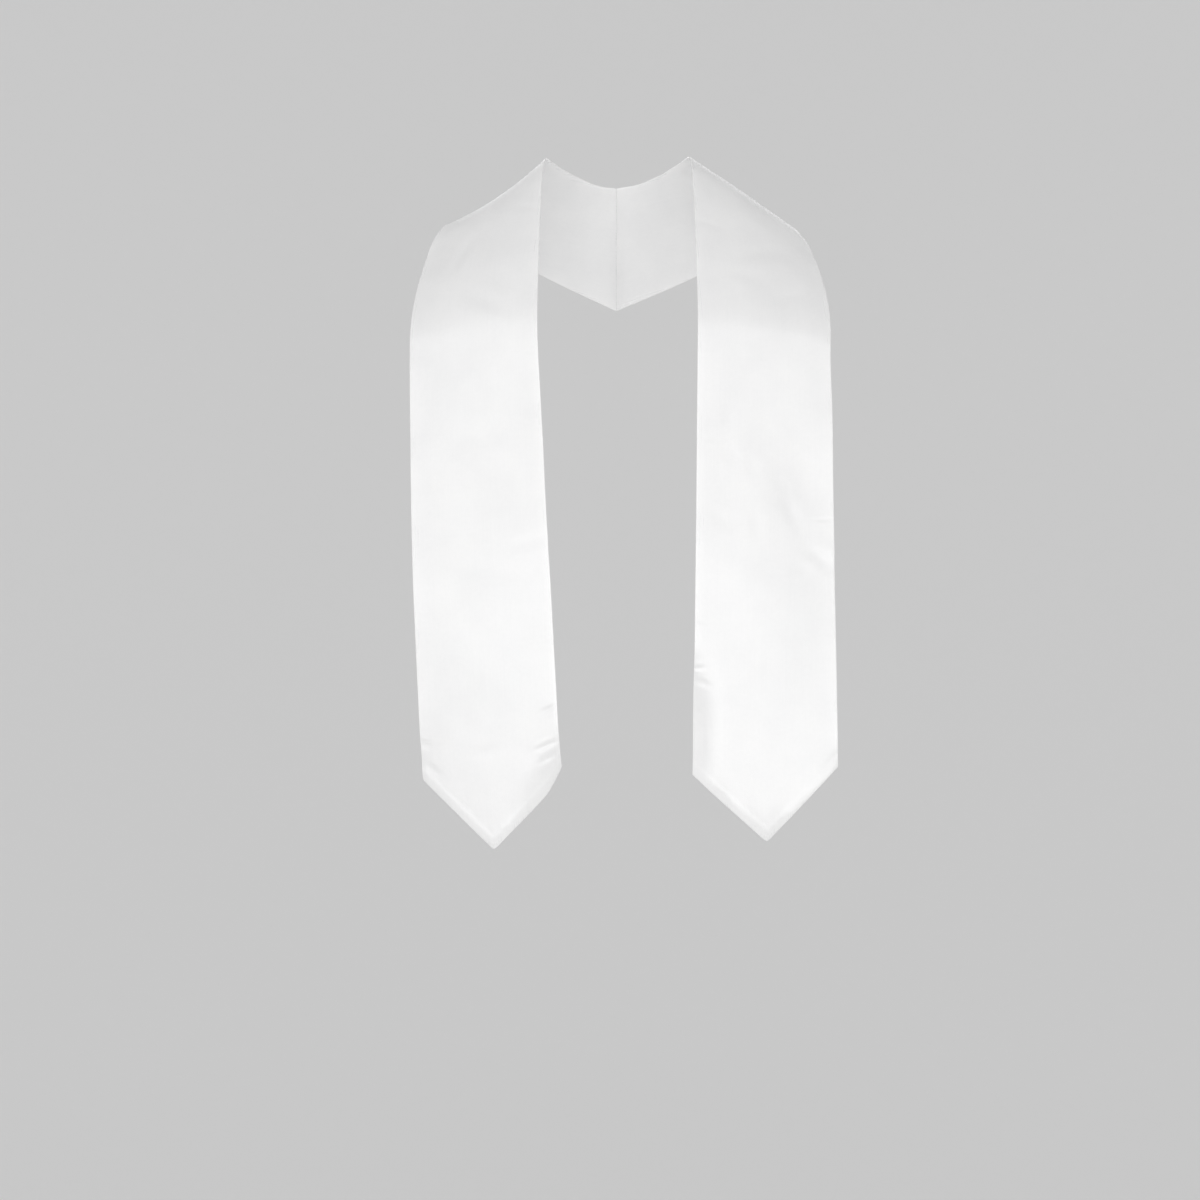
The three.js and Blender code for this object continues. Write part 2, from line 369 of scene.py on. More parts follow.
def flat_cut(half, along, across):
    """The flat place of each cell corner, with the middle of the lower corners at 0."""
    band = straight_band(half, along, np.array([0.0, 1.0]))
    inner, outer = unrolled_edges(band[:, 0], band[:, 1])
    outward, down = end_cut(half, along, across)
    way = ((outer - inner) / abs(outer - inner))[:, None]
    flat = inner[:, None] + (outer - inner)[:, None] * across + way * (outward - 1j * down)
    return flat - (inner[-1] + outer[-1]) / 2


# %% The outline of a cut, as the cells' corners all the way round
def outline_of(grid):
    """The corners on the edge: down the inner side, along the end, up the outer side and back."""
    return np.concatenate([grid[:-1, 0], grid[-1, :-1], grid[:0:-1, -1], grid[0, :0:-1]])


def area_inside(outline):
    """The area inside a flat outline, in square metres."""
    return abs(np.imag(np.conj(outline) * np.roll(outline, -1)).sum()) / 2


cuts = {half.name: flat_cut(half, rows[half.name], columns) for half in HALVES}
for name, cut in cuts.items():
    around = outline_of(cut)
    size = np.ptp(around.real), np.ptp(around.imag)
    print(f"{name}: flat {size[0]:.3f} x {size[1]:.3f} m, {area_inside(around):.4f} m2 a layer")

# %% [markdown]
# ## What pressing, sewing and wearing leave in the cloth
#
# Clean satin isn't flat. The layers lie a little unevenly on each other, the thread draws the
# edges into small puckers, and handling leaves short creases near the edges and corners. A
# simulation could find some of this, but it wouldn't put a crease where the photograph has one. So
# the soft forms are added as small heights along the surface: seeded noise for what is random, a
# table for the creases that can be seen and one for the edges that curl back.


# %% Smooth random heights
NOISE_CELLS = 64  # after which the noise repeats


def ease(share):
    """From 0 to 1 without a kink at either end."""
    share = np.clip(share, 0, 1)
    return share**3 * (share * (6 * share - 15) + 10)


def soft_noise(x, y, seed):
    """Smooth random values from -1 to 1 that turn about once in each unit of x and y."""
    size = NOISE_CELLS
    heights = np.random.default_rng(seed).uniform(-1, 1, (size, size))
    left, low = np.floor(x).astype(int), np.floor(y).astype(int)
    across, up = ease(x - left), ease(y - low)
    bottom = mix(heights[left % size, low % size], heights[(left + 1) % size, low % size], across)
    low += 1
    top = mix(heights[left % size, low % size], heights[(left + 1) % size, low % size], across)
    return mix(bottom, top, up)


# %% The creases that show: up is metres above the corners, lean degrees, the rest millimetres
CREASES = {
    "left_half": table(
        "up across long wide lean deep",
        (0.103, 0.030, 6, 2.2, 10, 0.55),
        (0.088, 0.060, 8, 3.2, -20, 0.35),
        (0.150, 0.040, 8, 2.4, -12, 0.22),
        (0.251, 0.915, 13, 2.2, 2, 0.45),
        (0.212, 0.900, 14, 7.5, -35, 1.10),
        (0.203, 0.770, 11, 6.0, 10, 0.45),
        (0.257, 0.690, 15, 8.0, -62, 0.75),
        (0.287, 0.620, 10, 6.5, -40, 0.35),
        (0.245, 0.440, 13, 8.0, -80, 0.60),
        (0.306, 0.400, 11, 6.5, -72, 0.35),
        (0.315, 0.260, 14, 7.5, -48, 0.45),
        (0.352, 0.230, 14, 7.5, 80, 0.40),
        (0.252, 0.180, 9, 6.0, -30, 0.35),
        (0.319, 0.740, 9, 2.2, 0, 0.20),
        (0.326, 0.100, 10, 2.4, -6, -0.22),
        (0.560, 0.090, 18, 4.0, -14, 0.35),
        (0.530, 0.550, 30, 8.0, 6, 0.45),
        (0.500, 0.350, 24, 7.0, -10, 0.40),
        (0.478, 0.700, 22, 7.0, 16, 0.40),
        (0.012, 0.960, 9, 3.6, 48, 0.40),
    ),
    "right_half": table(
        "up across long wide lean deep",
        (0.069, 0.060, 7, 2.4, -24, 0.60),
        (0.033, 0.085, 9, 2.4, -20, 0.95),
        (0.021, 0.070, 9, 2.8, -28, 0.55),
        (0.139, 0.050, 7, 2.4, -8, 0.25),
        (0.028, 0.520, 15, 5.0, -14, 0.25),
        (0.037, 0.970, 6, 4.0, 10, 0.50),
        (0.012, 0.920, 10, 4.4, 34, 0.50),
        (0.210, 0.450, 40, 9.0, 8, 0.50),
        (0.235, 0.150, 22, 7.0, -12, 0.45),
        (0.345, 0.500, 46, 10.0, 2, 0.50),
        (0.480, 0.400, 26, 8.0, 20, 0.50),
        (0.510, 0.300, 26, 9.0, 74, 0.60),
        (0.540, 0.650, 24, 8.0, -66, 0.55),
        (0.590, 0.120, 16, 4.5, 18, 0.40),
    ),
}


def crease_height(half, up, across):
    """The height of the surface from the creases: soft grooves between low banks."""
    height = np.zeros_like(up)
    for crease in CREASES[half.name]:
        turn = math.radians(crease.lean)
        x, y = (across - crease.across) * END_WIDTH, up - crease.up
        along = (x * math.cos(turn) + y * math.sin(turn)) / (crease.long * MM)
        off = (y * math.cos(turn) - x * math.sin(turn)) / (crease.wide * MM)
        height -= crease.deep * MM * (1 - off**2) * np.exp(-(off**2) / 2 - along**2)
    return height


# %% Edges that curl back: start and stop are metres up, or shares across at the pointed end
CURLS = {
    "left_half": table(
        "edge start stop fade reach deep",  # reach and deep are millimetres
        ("inner", -0.080, 0.150, 0.115, 38, 11.0),
        ("end", -0.2, 0.45, 0.3, 24, 2.4),
        ("outer", -0.020, 0.030, 0.02, 10, 1.2),
        ("end", -0.2, 1.2, 0.1, 8, 1.0),
        ("end", 0.3, 0.7, 0.15, 26, 2.8),
    ),
    "right_half": table(
        "edge start stop fade reach deep",  # reach and deep are millimetres
        ("outer", -0.020, 0.045, 0.02, 8, 0.9),
        ("end", -0.2, 1.2, 0.1, 9, 1.6),
        ("end", -0.4, 0.46, 0.36, 33, 5.6),
    ),
}


def curl_height(half, up, across, insets):
    """The height of the surface from the curls: it bends back more and more towards the edge."""
    height = np.zeros_like(up)
    for curl in CURLS[half.name]:
        place = across if curl.edge == "end" else up
        part = ease((place - curl.start) / curl.fade) * ease((curl.stop - place) / curl.fade)
        near = np.maximum(1 - insets[curl.edge] / (curl.reach * MM), 0)
        height -= curl.deep * MM * part * near**2
    return height


# %% Waves, puckers and neck ripples
WAVE = 0.9 * MM  # height of the slow waves where the layers lie unevenly
WAVE_SPAN = 85 * MM
MOTTLE = 0.2 * MM  # height of the small unevenness that pressing leaves
MOTTLE_SPAN = 21 * MM
MOTTLE_STRETCH = 1.4  # how much longer it is than wide
PUCKER = 0.17 * MM  # height of the puckers that the thread draws along an edge
PUCKER_SPAN = 11 * MM
PUCKER_WIDE = 22 * MM  # how far in a pucker stays alike
PUCKER_REACH = 8 * MM
NECK_RIPPLE = 0.9 * MM  # height of the ripples where the inner edge bends round the neck
NECK_SPAN = 19 * MM
NECK_REACH = 26 * MM
NECK_WIDE = 78 * MM  # how far in a ripple stays alike
NECK_START = 1.4 * HANG_LENGTH  # height above the corners from which there are ripples
NECK_FADE = 0.1 * HANG_LENGTH
SEAM_FADE = 14 * MM  # over which everything fades, so that both halves meet at the seam


def fine_height(half, seed, cut, insets, across):
    """The height that is added to the middle surface at each cell corner, in metres."""
    x, up = cut.real, cut.imag
    sides = np.minimum(insets["side"], insets["end"])
    height = WAVE * soft_noise(x / WAVE_SPAN, up / WAVE_SPAN, seed)
    height += MOTTLE * soft_noise(x / MOTTLE_SPAN, up / (MOTTLE_STRETCH * MOTTLE_SPAN), seed + 1)
    along_edge = soft_noise(x / PUCKER_WIDE, up / PUCKER_SPAN, seed + 2)
    height += PUCKER * along_edge * np.exp(-sides / PUCKER_REACH)
    behind = ease((up - NECK_START) / NECK_FADE)
    ripple = soft_noise(up / NECK_SPAN, x / NECK_WIDE, seed + 3)
    height += NECK_RIPPLE * ripple * behind * np.exp(-insets["inner"] / NECK_REACH)
    height += crease_height(half, up, across) + curl_height(half, up, across, insets)
    return height * ease(insets["seam"] / SEAM_FADE)


# %% [markdown]
# ## From a surface to a sewn, pressed band
#
# The band has two faces and an edge. Behind each edge the turned-in allowances lie between the
# layers, so the cloth is thicker there and steps down softly further in, more at the pointed end,
# where they are graded less. The edge itself is two round folds with the joining seam as a fine
# groove between them. Blender's Solidify modifier would give a square edge of one thickness, so the
# two faces are laid out here and a shaped rim is swept round them.

# %% Sizes of the edge
BODY_HALF = 0.62 * MM  # half the thickness away from the edges
SIDE_STEP = 0.10 * MM  # what the allowances add to that along the sides and the seam
END_STEP = 0.24 * MM  # and along the pointed end
ALLOWANCE = 8 * MM  # how far in the allowances reach
STEP_WIDTH = 4 * MM  # over which the step dies out
RIM_WIDTH = 1.3 * MM  # how far in from the edge the round of the rim starts
SEAM_RIM = 0.7 * MM  # the same at the back seam, which is pressed open
SEAM_CLEAR = 0.01 * MM  # between each half and the plane of the seam
RIM_PROFILE = table(
    "inset height",  # shares of the rim's width and of half the thickness
    (1.00, 1.00),
    (0.48, 0.94),
    (0.14, 0.74),
    (0.00, 0.47),
    (0.06, 0.20),
    (0.26, 0.00),
)
print(f"thickness {2 * BODY_HALF / MM:.2f} mm, {2 * (BODY_HALF + END_STEP) / MM:.2f} at the point")


# %% How far each cell corner is from the edges
def insets_of(places):
    """Distances to the inner edge, both sides, the pointed end and the seam, in metres."""
    across = np.cumsum(step_lengths(places.swapaxes(0, 1)), axis=0).T
    across = np.hstack([np.zeros((len(places), 1)), across])
    down = np.vstack([np.zeros((1, places.shape[1])), np.cumsum(step_lengths(places), axis=0)])
    slope = (END_WIDTH / 2) / math.hypot(POINT_LENGTH, END_WIDTH / 2)
    return {
        "inner": across,
        "outer": across[:, -1:] - across,
        "side": np.minimum(across, across[:, -1:] - across),
        "end": (down[-1] - down) * slope,
        "seam": down,
    }


def half_thickness(insets):
    """Half the thickness of the cloth at each cell corner."""
    side = np.minimum(insets["side"], insets["seam"])
    side_part = 1 - ease((side - ALLOWANCE) / STEP_WIDTH)
    end_part = 1 - ease((insets["end"] - ALLOWANCE) / STEP_WIDTH)
    return BODY_HALF + np.maximum(SIDE_STEP * side_part, END_STEP * end_part)


# %% The way out of the surface, and the way out of an edge
def facing(places):
    """Unit vectors out of the surface. On the seam they stay in its plane, which mitres it."""
    down, across = np.gradient(places, axis=0), np.gradient(places, axis=1)
    out = np.cross(down, across)
    out /= np.linalg.norm(out, axis=-1, keepdims=True)
    out[0, :, 0] = 0
    out[0] /= (out[0] ** 2).sum(-1, keepdims=True)
    return out


def mitred(before, after):
    """The way out of a corner between two edges, long enough to reach a mitre."""
    together = (before * after).sum(-1, keepdims=True)
    return (before + after) / (1 + together)


def out_of_edge(outline, facing_there):
    """The way out of a closed outline in space, within the surface."""
    out = np.cross(np.roll(outline, -1, axis=0) - outline, facing_there)
    out /= np.linalg.norm(out, axis=-1, keepdims=True)
    return mitred(np.roll(out, 1, axis=0), out)


def out_of_cut(outline):
    """The same for the flat outline."""
    out = (np.roll(outline, -1) - outline) * -1j
    out /= abs(out)
    pair = np.stack([out.real, out.imag], axis=-1)
    found = mitred(np.roll(pair, 1, axis=0), pair)
    return found[:, 0] + 1j * found[:, 1]


# %% The rim: rings of corners from the front face round to the back face
def rim_rings(profile, outline, out, normal, rim_width, thickness):
    """One ring of places for each row of the profile, and the way travelled round the rim."""
    rings = []
    for inset, height in profile:
        inward = out * (inset * rim_width)[:, None]
        rings.append(outline - inward + normal * (height * thickness)[:, None])
    travelled = np.concatenate([[0 * rim_width], np.cumsum(step_lengths(np.array(rings)), axis=0)])
    return rings, travelled


def whole_profile():
    """The profile of the front half of the rim, and its mirror image for the back half."""
    front = [(row.inset, row.height) for row in RIM_PROFILE]
    return front + [(inset, -height) for inset, height in front[-2::-1]]


# %% Faces between the grids and the rings
def grid_faces(numbers):
    """Four-sided faces of a grid of vertex numbers, seen from the front."""
    a, b, c, d = numbers[:-1, :-1], numbers[1:, :-1], numbers[1:, 1:], numbers[:-1, 1:]
    return np.stack([a, b, c, d], axis=-1).reshape(-1, 4)


def ring_faces(ring, following):
    """Faces between two rings, where the second lies nearer the back."""
    faces = [np.roll(ring, -1), ring, following, np.roll(following, -1)]
    return np.stack(faces, axis=-1)


def new_mesh(name, places, faces, flat=None, marks=None):
    """A smooth mesh object, with its flat cut as a UV map and named marks on its corners."""
    mesh = bpy.data.meshes.new(name)
    mesh.from_pydata(places.tolist(), [], faces)
    mesh.polygons.foreach_set("use_smooth", np.ones(len(faces), bool))
    if flat is not None:
        layer = mesh.uv_layers.new(name="flat_cloth")
        corner = np.stack([flat.real, flat.imag], axis=-1)[np.ravel(faces)]
        layer.uv.foreach_set("vector", corner.astype(np.float32).ravel())
    for mark, values in (marks or {}).items():
        attribute = mesh.attributes.new(mark, "FLOAT", "POINT")
        attribute.data.foreach_set("value", values.astype(np.float32))
    piece = bpy.data.objects.new(name, mesh)
    bpy.context.scene.collection.objects.link(piece)
    return piece


# %% Build a band
def build_band(half, seed):
    """The closed skin of one half: two faces, and the rim that joins them."""
    along, cut = rows[half.name], cuts[half.name]
    places = middle_surface(half, along, columns)
    insets = insets_of(places)
    places += facing(places) * fine_height(half, seed, cut, insets, columns)[..., None]
    places[0, :, 0] = 0
    places[..., 0] += SEAM_CLEAR
    normal, thick = facing(places), half_thickness(insets)
    outline, around = outline_of(places), outline_of(normal)
    row_number = outline_of(np.repeat(np.arange(len(along))[:, None], len(columns), axis=1))
    rim_width = np.where(row_number == 0, SEAM_RIM, RIM_WIDTH)
    profile = whole_profile()
    out = out_of_edge(outline, around)
    edge_thick = outline_of(thick)
    rings, travelled = rim_rings(profile, outline, out, around, rim_width, edge_thick)
    return {
        "front": places + normal * thick[..., None],
        "back": places - normal * thick[..., None],
        "rings": rings,
        "travelled": travelled,
        "rim_width": rim_width,
        "insets": insets,
        "middle": places,
        "normal": normal,
    }


def put_on_edge(grid, ring):
    """Moves the corners on the edge of a grid to a ring's places."""
    count, wide = len(grid), grid.shape[1]
    side, end = count - 1, wide - 1
    grid[:-1, 0] = ring[:side]
    grid[-1, :-1] = ring[side : side + end]
    grid[:0:-1, -1] = ring[side + end : 2 * side + end]
    grid[0, :0:-1] = ring[2 * side + end :]


def skin(half, shape):
    """The places, faces, flat places and marks of the whole skin of a half."""
    cut = cuts[half.name]
    rings, travelled = shape["rings"], shape["travelled"]
    put_on_edge(shape["front"], rings[0])
    put_on_edge(shape["back"], rings[-1])
    edge_cut, edge_out = outline_of(cut), out_of_cut(outline_of(cut))
    start = edge_cut - edge_out * shape["rim_width"]
    way = np.minimum(travelled, travelled[-1] - travelled)
    ring_cuts = [start + edge_out * step for step in way]
    grid_cut = cut.copy()
    put_on_edge(grid_cut, ring_cuts[0])
    count = cut.size
    front = np.arange(count).reshape(cut.shape)
    numbers = [outline_of(front)]
    for ring in range(1, len(rings) - 1):
        first = 2 * count + (ring - 1) * len(edge_cut)
        numbers.append(np.arange(first, first + len(edge_cut)))
    numbers.append(outline_of(front) + count)
    faces = [grid_faces(front), grid_faces(front + count)[:, ::-1]]
    faces += [ring_faces(a, b) for a, b in zip(numbers, numbers[1:])]
    grids = [shape["front"].reshape(-1, 3), shape["back"].reshape(-1, 3)]
    places = np.vstack(grids + rings[1:-1])
    flat = np.concatenate([grid_cut.ravel(), grid_cut.ravel()] + ring_cuts[1:-1])
    pressed = pressed_and_highlight_share(shape, len(edge_cut) * (len(rings) - 2))
    return places, np.vstack(faces), flat, pressed


def pressed_and_highlight_share(shape, ring_corners):
    """1 at the edge and 0 past the allowance: how smooth the iron left each corner, and how far its
    colour is painted lighter there as a highlight.
    """
    insets = shape["insets"]
    nearest = np.minimum(insets["side"], insets["end"])
    grid = np.exp(-((nearest / ALLOWANCE) ** 2)).ravel()
    return np.concatenate([grid, grid, np.ones(ring_corners)])


# %% Make both bands
SEEDS = {"left_half": 11, "right_half": 37}
bands, shapes = {}, {}
for half in HALVES:
    shape = build_band(half, SEEDS[half.name])
    places, faces, flat, pressed = skin(half, shape)
    if half.side < 0:
        places[:, 0] *= -1
        faces = faces[:, ::-1]
        flat = -np.conj(flat)
    name = half.name.replace("half", "band")
    # The edge mask goes on the mesh: it smooths the gloss and paints a highlight along the edges.
    piece = new_mesh(name, places, faces.tolist(), flat, {"pressed": pressed})
    bands[half.name], shapes[half.name] = piece, shape
    print(piece.name, "vertices:", len(places), "triangles:", 2 * len(faces))

# %% [markdown]
# ## Is the new skin where the solid is?
#
# The new bands stand in for the solids, so they have to lie where those do. A BVH tree finds the
# nearest place on the solid for any point quickly, and tells how far the skin departs from it.

# %% Measure the skin against the solids
SAMPLE = 40  # every so many vertices


def distances_to(node, piece):
    """Distances from a sample of the piece's vertices to the CAD node, in millimetres."""
    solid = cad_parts[node].data
    tree = BVHTree.FromPolygons(
        [v.co for v in solid.vertices], [tuple(p.vertices) for p in solid.polygons]
    )
    found = [tree.find_nearest(v.co)[3] for v in list(piece.data.vertices)[::SAMPLE]]
    return np.array(found) / MM


for name, piece in bands.items():
    apart = distances_to(name, piece)
    print(f"{name}: mean {apart.mean():.2f} mm, largest {apart.max():.2f} mm from the solid")

# %% [markdown]
# ## The thread in the back seam
#
# The seam at the back is sewn from inside and pressed open. Looking into its valley, one sees the
# thread cross from fold to fold at every stitch. Each crossing is a short tube that arches a
# little. One loop makes them all in a single mesh, because nobody handles a stitch by itself.

# %% Sizes of the stitches
STITCH = 2.5 * MM  # from one stitch to the next
THREAD_RADIUS = 0.11 * MM
CROSSING = 0.62 * MM  # from the seam's plane to where the thread goes into a fold
SEAT = 0.62  # height of the thread in the valley, as a share of half the thickness
ARCH = 0.10 * MM
THREAD_SIDES = 6
THREAD_STATIONS = 7
THREAD_END = 1.02  # a little over 1, so that the ends have a width


# %% Make the stitches
def tube(line, radii, around):
    """Places and faces of a closed tube with its rings on the line and a point at each end."""
    ways = np.gradient(line, axis=0)
    ways /= np.linalg.norm(ways, axis=1, keepdims=True)
    beside = np.cross(ways, around)
    beside /= np.linalg.norm(beside, axis=1, keepdims=True)
    above = np.cross(beside, ways)
    angles = np.arange(THREAD_SIDES) * 2 * math.pi / THREAD_SIDES
    rings = [
        line + radii[:, None] * (math.cos(angle) * beside + math.sin(angle) * above)
        for angle in angles
    ]
    places = np.stack(rings, axis=1).reshape(-1, 3)
    first = np.arange(len(line) - 1)[:, None] * THREAD_SIDES
    side = np.arange(THREAD_SIDES)[None, :]
    beyond = (side + 1) % THREAD_SIDES
    quads = [first + side, first + beyond, first + THREAD_SIDES + beyond, first + THREAD_SIDES + side]
    faces = np.stack(np.broadcast_arrays(*quads), axis=-1).reshape(-1, 4).tolist()
    faces.append(list(range(THREAD_SIDES))[::-1])
    last = len(places) - THREAD_SIDES
    faces.append(list(range(last, last + THREAD_SIDES)))
    return places, faces


def seam_stations(shape):
    """Evenly spaced places on the seam, and the way out of the cloth at each."""
    seam, normal = shape["middle"][0], shape["normal"][0]
    length = np.concatenate([[0], np.cumsum(step_lengths(seam))])
    wanted = np.arange(STITCH, length[-1] - STITCH / 2, STITCH)
    at = [np.interp(wanted, length, column) for column in seam.T]
    way = [np.interp(wanted, length, column) for column in normal.T]
    return np.stack(at, axis=-1), np.stack(way, axis=-1)


def seam_thread(shape):
    """All crossings of the thread, on the outer and the inner face of the stole."""
    reach = np.linspace(-1, 1, THREAD_STATIONS)
    radii = THREAD_RADIUS * np.sqrt(THREAD_END - reach**2)
    places, faces, count = [], [], 0
    for place, way in zip(*seam_stations(shape)):
        for side in (1, -1):
            seat = SEAT * (BODY_HALF + SIDE_STEP) + ARCH * (1 - reach**2)
            line = place + side * seat[:, None] * way
            line[:, 0] = reach * CROSSING
            made, new_faces = tube(line, radii, way)
            places.append(made)
            faces += [[corner + count for corner in face] for face in new_faces]
            count += len(made)
    return new_mesh("seam_thread", np.vstack(places), faces)


thread = seam_thread(shapes["left_half"])
print("seam_thread faces:", len(thread.data.polygons))

# %% [markdown]
# ## Small tools for materials
#
# Cycles reads a material as a tree of nodes. A few short functions keep the trees readable: one
# makes a node with its values, one does arithmetic, and one starts a node group with named
# sockets. What both the satin and the thread show is a group, and so is the weave, which is easier
# to read by itself.


# %% Node helpers
def add_node(tree, kind, links=None, **settings):
    """A node with its settings. Links give an input's number or name a value or a socket."""
    node = tree.nodes.new(kind)
    for name, value in settings.items():
        setattr(node, name, value)
    for name, value in (links or {}).items():
        if isinstance(value, bpy.types.NodeSocket):
            tree.links.new(value, node.inputs[name])
        else:
            node.inputs[name].default_value = value
    return node


def arithmetic(tree, operation, *values):
    """The output of a Math node."""
    links = dict(enumerate(values))
    return add_node(tree, "ShaderNodeMath", links, operation=operation).outputs[0]


def remap(tree, value, low, high):
    """A value from 0 to 1 carried to the range from low to high."""
    links = {"Value": value, "To Min": low, "To Max": high}
    return add_node(tree, "ShaderNodeMapRange", links).outputs[0]


def new_group(name, inputs, outputs):
    """A shader node group, with the two nodes that hold its inputs and its outputs."""
    group = bpy.data.node_groups.new(name, "ShaderNodeTree")
    for label, kind in inputs:
        group.interface.new_socket(label, in_out="INPUT", socket_type=kind)
    for label in outputs:
        group.interface.new_socket(label, in_out="OUTPUT", socket_type="NodeSocketFloat")
    return group, group.nodes.new("NodeGroupInput"), group.nodes.new("NodeGroupOutput")


def use_group(tree, group, **links):
    """A placed group. Its inputs are named with an underscore for a space."""
    named = {name.replace("_", " "): value for name, value in links.items()}
    return add_node(tree, "ShaderNodeGroup", named, node_tree=group)


# %% [markdown]
# ## Satin weave
#
# Satin owes its gloss to long floats: each warp yarn runs over four weft yarns and dips under the
# fifth, and the dips never touch. The group draws that on the flat cloth. Every yarn is a low round
# ridge, and each dip lies two fifths of a repeat further along than on the yarn before. The yarns
# are a fifth of a millimetre apart, so from the camera they only soften the light, and they show
# when one comes close.


# %% The weave as a node group
REPEAT = 5  # yarns, after which the weave repeats
COUNTER = 2  # how many yarns further each dip lies than on the yarn before
DIP_START = 0.38  # from the middle of a float to where it goes down, in repeats
DIP_HEIGHT = 0.25  # of the height of a float


def make_weave():
    inputs = [("Cloth", "NodeSocketVector"), ("Pitch", "NodeSocketFloat")]
    group, given, made = new_group("satin_weave", inputs, ["Height", "Yarn"])
    split = add_node(group, "ShaderNodeSeparateXYZ", {0: given.outputs["Cloth"]})
    pitch = given.outputs["Pitch"]
    across = arithmetic(group, "DIVIDE", split.outputs["X"], pitch)
    along = arithmetic(group, "DIVIDE", split.outputs["Y"], pitch)
    yarn = arithmetic(group, "FLOOR", across)
    off_centre = arithmetic(group, "SUBTRACT", arithmetic(group, "FRACT", across), 0.5)
    square = arithmetic(group, "MULTIPLY", off_centre, off_centre)
    ridge = arithmetic(group, "MULTIPLY_ADD", square, -4.0, 1.0)
    repeat = arithmetic(group, "MULTIPLY", along, 1 / REPEAT)
    repeat = arithmetic(group, "MULTIPLY_ADD", yarn, COUNTER / REPEAT, repeat)
    in_repeat = arithmetic(group, "SUBTRACT", arithmetic(group, "FRACT", repeat), 0.5)
    to_dip = arithmetic(group, "ABSOLUTE", in_repeat)
    links = {"Value": to_dip, "From Min": DIP_START, "From Max": 0.5}
    links |= {"To Min": 1.0, "To Max": DIP_HEIGHT}
    float_height = add_node(group, "ShaderNodeMapRange", links, interpolation_type="SMOOTHSTEP")
    height = arithmetic(group, "MULTIPLY", ridge, float_height.outputs[0])
    random = add_node(group, "ShaderNodeTexWhiteNoise", {"W": yarn}, noise_dimensions="1D")
    group.links.new(height, made.inputs["Height"])
    group.links.new(random.outputs["Value"], made.inputs["Yarn"])
    return group


weave_group = make_weave()

# %% [markdown]
# ## Fibre streaks
#
# Yarns aren't all alike. A thicker one, or one that lies a little looser, gives a faint streak
# along the grain that is long and very narrow. Noise that is stretched along the cloth gives just
# that. The satin and the thread both have it, each at its own scale, so it is a group.


# %% The streaks as a node group
def make_streaks():
    inputs = [
        ("Cloth", "NodeSocketVector"),
        ("Width", "NodeSocketFloat"),
        ("Length", "NodeSocketFloat"),
    ]
    group, given, made = new_group("fibre_streaks", inputs, ["Streak"])
    split = add_node(group, "ShaderNodeSeparateXYZ", {0: given.outputs["Cloth"]})
    across = arithmetic(group, "DIVIDE", split.outputs["X"], given.outputs["Width"])
    along = arithmetic(group, "DIVIDE", split.outputs["Y"], given.outputs["Length"])
    place = add_node(group, "ShaderNodeCombineXYZ", {"X": across, "Y": along})
    links = {"Vector": place.outputs[0], "Scale": 1.0, "Detail": 3.0, "Roughness": 0.6}
    noise = add_node(group, "ShaderNodeTexNoise", links, noise_dimensions="2D")
    group.links.new(noise.outputs[0], made.inputs["Streak"])
    return group


streak_group = make_streaks()

# %% [markdown]
# ## Pressing marks
#
# Steam and the iron leave the gloss slightly uneven: broad soft clouds, and a fine mottle a few
# millimetres wide where the interfacing took. The group adds the two. The satin takes its colour,
# its roughness and a very low relief from it, and the thread its uneven shine.


# %% The marks as a node group
MOTTLES_IN_CLOUD = 14.0


def make_marks():
    inputs = [("Cloth", "NodeSocketVector"), ("Span", "NodeSocketFloat")]
    group, given, made = new_group("pressing_marks", inputs, ["Cloud", "Mottle"])
    scale = arithmetic(group, "DIVIDE", 1.0, given.outputs["Span"])
    cloth = given.outputs["Cloth"]
    links = {"Vector": cloth, "Scale": scale, "Detail": 2.0, "Roughness": 0.5}
    cloud = add_node(group, "ShaderNodeTexNoise", links, noise_dimensions="2D")
    finer = arithmetic(group, "MULTIPLY", scale, MOTTLES_IN_CLOUD)
    links = {"Vector": cloth, "Scale": finer, "Detail": 3.0, "Roughness": 0.55}
    mottle = add_node(group, "ShaderNodeTexNoise", links, noise_dimensions="2D")
    group.links.new(cloud.outputs[0], made.inputs["Cloud"])
    group.links.new(mottle.outputs[0], made.inputs["Mottle"])
    return group


marks_group = make_marks()
print("node groups:", [group.name for group in bpy.data.node_groups])

# %% [markdown]
# ## White satin
#
# White polyester satin is nearly white all over, and what tells it from paper is its gloss: a soft
# reflection that is stretched across the floats. So the reflection is anisotropic, with the flat
# cut's own direction as its tangent. The colour moves only a little between two whites with the
# marks and the yarns. The iron has closed the surface along the edges, so they are smoother there,
# and the colour is painted lighter along them as well: a painted highlight where a rolled edge
# catches the light.

# %% Values of the satin
SATIN_WHITE = (0.944, 0.942, 0.94, 1.0)
SATIN_SHADE = (0.865, 0.865, 0.868, 1.0)
SATIN_ROUGHNESS = 0.34
SATIN_STRETCH = 0.8  # how far the reflection is stretched
SATIN_SPECULAR = 0.9
SATIN_IOR = 1.65  # polyester's, along the fibre
SATIN_SHEEN = 0.12
SHEEN_ROUGHNESS = 0.4
YARN_PITCH = 0.2 * MM
YARN_RELIEF = 0.018 * MM
MOTTLE_RELIEF = 0.03 * MM
STREAK_WIDTH = 0.9 * MM
STREAK_LENGTH = 70 * MM
CLOUD_SPAN = 55 * MM
WHITENESS = table(
    "mark low high",  # what each mark adds to the share of the lighter white
    ("streak", 0.0, 0.4),
    ("mottle", 0.0, 0.4),
    ("cloud", -0.45, 0.65),
    ("yarn", 0.0, 0.12),
    # painted highlight: the colour is lighter along the edges
    ("pressed", 0.0, 0.25),
)
ROUGHNESS = table(
    "mark low high",
    ("cloud", SATIN_ROUGHNESS - 0.06, SATIN_ROUGHNESS + 0.06),
    ("streak", -0.04, 0.04),
    ("pressed", 0.0, -0.06),
)


